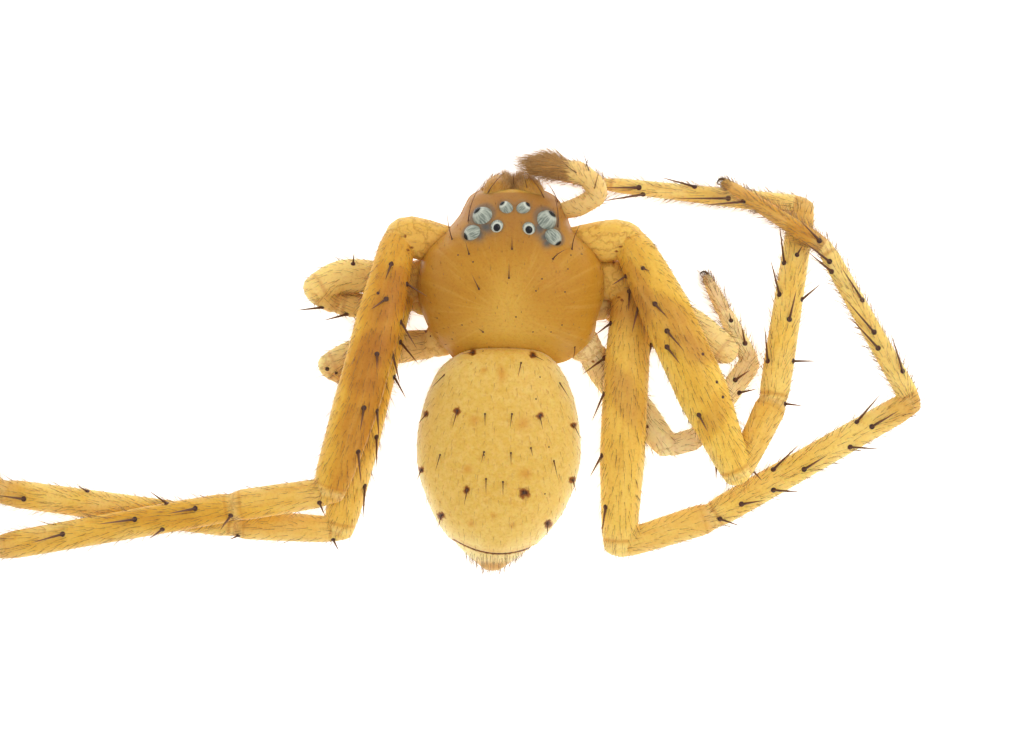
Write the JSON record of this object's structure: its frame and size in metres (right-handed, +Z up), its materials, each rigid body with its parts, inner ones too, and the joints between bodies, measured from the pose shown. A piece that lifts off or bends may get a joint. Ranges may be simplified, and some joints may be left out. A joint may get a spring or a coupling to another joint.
{
  "type": "crab spider",
  "caption": "Life-size amber crab spider with long front legs folded beside a pale oval abdomen, seen from above.",
  "frame": {"origin": "middle of the small flat under the belly, on the floor", "axes": "+X to the spider's right, +Y ahead, +Z up"},
  "size_m": [0.0301, 0.0105, 0.0032],
  "materials": {
    "carapace": "satin translucent amber",
    "abdomen": "satin pale yellow",
    "leg": "satin golden yellow",
    "coxa": "satin pale yellow",
    "palp": "satin brown",
    "eye": "glossy grey-white"
  },
  "bodies": {
    "root": {"cephalothorax": "carapace", "abdomen": "abdomen", "spinnerets": "abdomen", "eye_front_middle_left": "eye", "eye_front_middle_right": "eye", "eye_front_side_left": "eye", "eye_front_side_right": "eye", "eye_rear_middle_left": "eye", "eye_rear_middle_right": "eye", "eye_rear_side_left": "eye", "eye_rear_side_right": "eye", "right_chelicera": "carapace", "left_chelicera": "carapace", "right_palp": "palp", "left_palp": "palp", "right_leg_1_coxa": "coxa", "right_leg_1_femur": "leg", "right_leg_1_patella": "leg", "right_leg_1_tibia": "leg", "right_leg_1_metatarsus": "leg", "right_leg_1_tarsus": "leg", "right_leg_2_coxa": "coxa", "right_leg_2_femur": "leg", "right_leg_2_patella": "leg", "right_leg_2_tibia": "leg", "right_leg_2_metatarsus": "leg", "right_leg_2_tarsus": "leg", "right_leg_3_coxa": "coxa", "right_leg_3_femur": "leg", "right_leg_3_patella": "leg", "right_leg_3_tibia": "leg", "right_leg_3_foot": "leg", "right_leg_4_coxa": "coxa", "right_leg_4_femur": "leg", "right_leg_4_patella": "leg", "right_leg_4_tibia": "leg", "right_leg_4_foot": "leg", "left_leg_1_coxa": "coxa", "left_leg_1_femur": "leg", "left_leg_1_patella": "leg", "left_leg_1_tibia": "leg", "left_leg_1_metatarsus": "leg", "left_leg_1_tarsus": "leg", "left_leg_2_coxa": "coxa", "left_leg_2_femur": "leg", "left_leg_2_patella": "leg", "left_leg_2_tibia": "leg", "left_leg_2_metatarsus": "leg", "left_leg_2_tarsus": "leg", "left_leg_3_coxa": "coxa", "left_leg_3_femur": "leg", "left_leg_3_patella": "leg", "left_leg_3_tibia": "leg", "left_leg_3_foot": "leg", "left_leg_4_coxa": "coxa", "left_leg_4_femur": "leg", "left_leg_4_patella": "leg", "left_leg_4_tibia": "leg", "left_leg_4_foot": "leg"}
  },
  "joints": []
}
